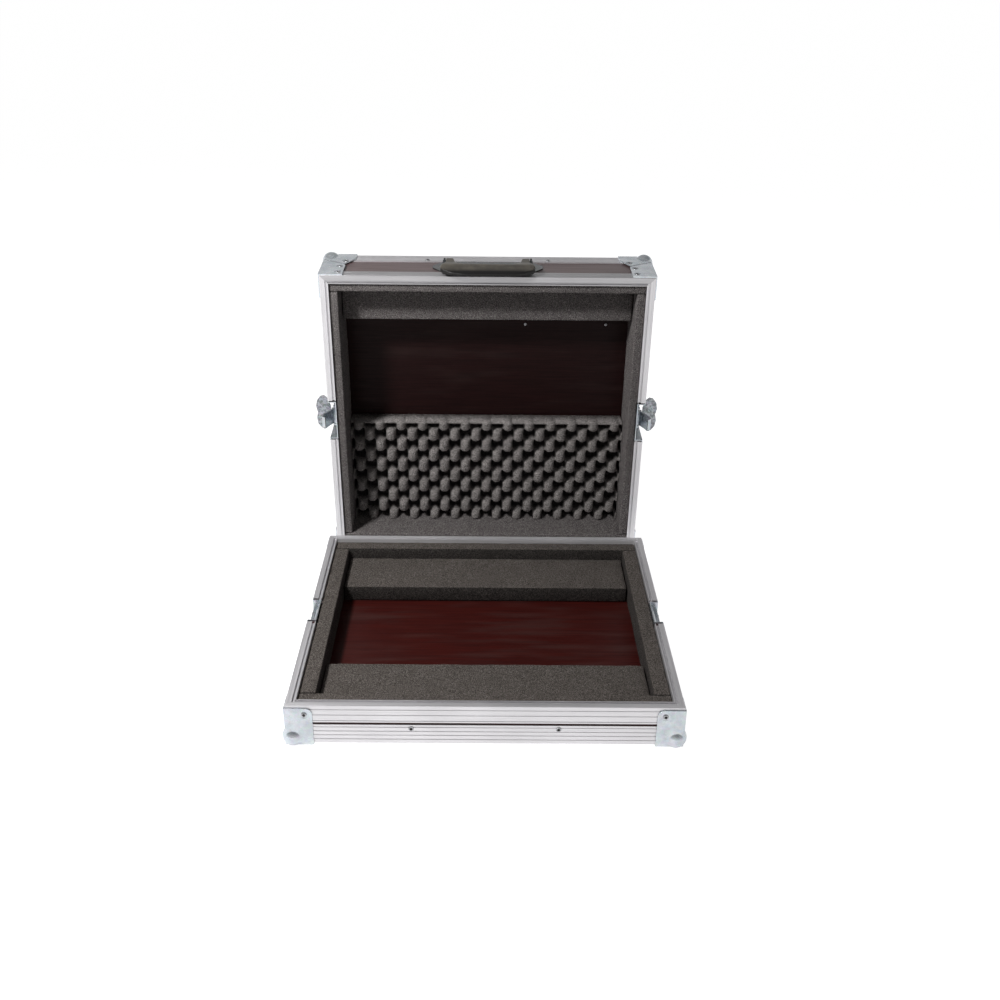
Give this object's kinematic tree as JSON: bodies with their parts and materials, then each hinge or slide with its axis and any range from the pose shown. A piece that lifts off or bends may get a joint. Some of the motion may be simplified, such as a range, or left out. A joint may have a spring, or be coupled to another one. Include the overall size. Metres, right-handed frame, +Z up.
{
  "type": "mixer flight case",
  "caption": "Foam-lined plywood flight case for a table-top mixer: shallow tray, loose lift-off cover standing behind it, folding handle and twist latches.",
  "frame": {"origin": "on the floor, under the middle of the bounding box of the tray and the standing cover", "axes": "+X to the right seen from the front, +Y from the tray to the cover behind it, +Z up"},
  "size_m": [0.4924, 0.5966, 0.435],
  "materials": {
    "profile": "satin anodised extrusion with fine ribs",
    "zinc_steel": "bright zinc plate, slightly bluish",
    "rivet": "pop rivet, dull",
    "laminated_ply": "plywood with a dark red-brown wood-grain skin, soft gloss",
    "foam": "dark grey open-cell foam, matt, granular",
    "grip": "moulded black plastic, soft sheen"
  },
  "bodies": {
    "tray": {"tray_ball_corners": "zinc_steel", "tray_bottom_panel": "laminated_ply", "tray_edge_angle_front": "profile", "tray_edge_angle_left": "profile", "tray_edge_angle_rear": "profile", "tray_edge_angle_right": "profile", "tray_foam_block_front": "foam", "tray_foam_block_rear": "foam", "tray_foam_front": "foam", "tray_foam_left": "foam", "tray_foam_rear": "foam", "tray_foam_right": "foam", "tray_keeper_left": "zinc_steel", "tray_keeper_right": "zinc_steel", "tray_rim_front": "profile", "tray_rim_left": "profile", "tray_rim_rear": "profile", "tray_rim_right": "profile", "tray_rivets": "rivet", "tray_wall_front": "laminated_ply", "tray_wall_left": "laminated_ply", "tray_wall_rear": "laminated_ply", "tray_wall_right": "laminated_ply"},
    "cover": {"cover_ball_corners": "zinc_steel", "cover_corner_braces": "zinc_steel", "cover_edge_angle_front": "profile", "cover_edge_angle_left": "profile", "cover_edge_angle_rear": "profile", "cover_edge_angle_right": "profile", "cover_foam_egg_crate": "foam", "cover_foam_front": "foam", "cover_foam_left": "foam", "cover_foam_rear": "foam", "cover_foam_right": "foam", "cover_foam_strip": "foam", "cover_rim_front": "profile", "cover_rim_left": "profile", "cover_rim_rear": "profile", "cover_rim_right": "profile", "cover_rivets": "rivet", "cover_top_panel": "laminated_ply", "cover_wall_front": "laminated_ply", "cover_wall_left": "laminated_ply", "cover_wall_rear": "laminated_ply", "cover_wall_right": "laminated_ply", "handle_pins": "zinc_steel", "handle_plate": "zinc_steel", "latch_dish_left": "zinc_steel", "latch_dish_right": "zinc_steel", "latch_hook_pins": "zinc_steel"},
    "latch_turn_right": {"latch_spindle_right": "zinc_steel", "latch_wing_pin_right": "zinc_steel"},
    "wing_right": {"latch_wing_right": "zinc_steel"},
    "hook_right": {"latch_hook_right": "zinc_steel"},
    "latch_turn_left": {"latch_spindle_left": "zinc_steel", "latch_wing_pin_left": "zinc_steel"},
    "wing_left": {"latch_wing_left": "zinc_steel"},
    "hook_left": {"latch_hook_left": "zinc_steel"},
    "grip": {"handle_grip": "grip"}
  },
  "joints": [
    {"name": "cover_place", "type": "hinge", "parent": "tray", "child": "cover", "pos_m": [0, 0.13318, -0.0074], "axis": [1, 0, 0], "range_deg": [0, 86.99]},
    {"name": "handle_fold", "type": "hinge", "parent": "cover", "child": "grip", "pos_m": [0, 0.22025, 0.42997], "axis": [-1, 0, 0], "range_deg": [0, 90]},
    {"name": "latch_turn_right", "type": "hinge", "parent": "cover", "child": "latch_turn_right", "pos_m": [0.2172, 0.21765, 0.21273], "axis": [1, 0, 0], "range_deg": [0, 180]},
    {"name": "wing_fold_right", "type": "hinge", "parent": "latch_turn_right", "child": "wing_right", "pos_m": [0.2222, 0.21765, 0.21273], "axis": [0, -0.0525, 0.9986], "range_deg": [0, 90]},
    {"name": "hook_swing_right", "type": "hinge", "parent": "cover", "child": "hook_right", "pos_m": [0.2178, 0.20666, 0.21215], "axis": [0, 0.0525, -0.9986], "range_deg": [0, 28]},
    {"name": "latch_turn_left", "type": "hinge", "parent": "cover", "child": "latch_turn_left", "pos_m": [-0.2172, 0.21765, 0.21273], "axis": [-1, 0, 0], "range_deg": [0, 180]},
    {"name": "wing_fold_left", "type": "hinge", "parent": "latch_turn_left", "child": "wing_left", "pos_m": [-0.2222, 0.21765, 0.21273], "axis": [0, 0.0525, -0.9986], "range_deg": [0, 90]},
    {"name": "hook_swing_left", "type": "hinge", "parent": "cover", "child": "hook_left", "pos_m": [-0.2178, 0.20666, 0.21215], "axis": [0, -0.0525, 0.9986], "range_deg": [0, 28]}
  ],
  "couplings": [
    {"joint": "hook_swing_right", "follows": "latch_turn_right", "ratio": 0.15555},
    {"joint": "hook_swing_left", "follows": "latch_turn_left", "ratio": 0.15555}
  ]
}
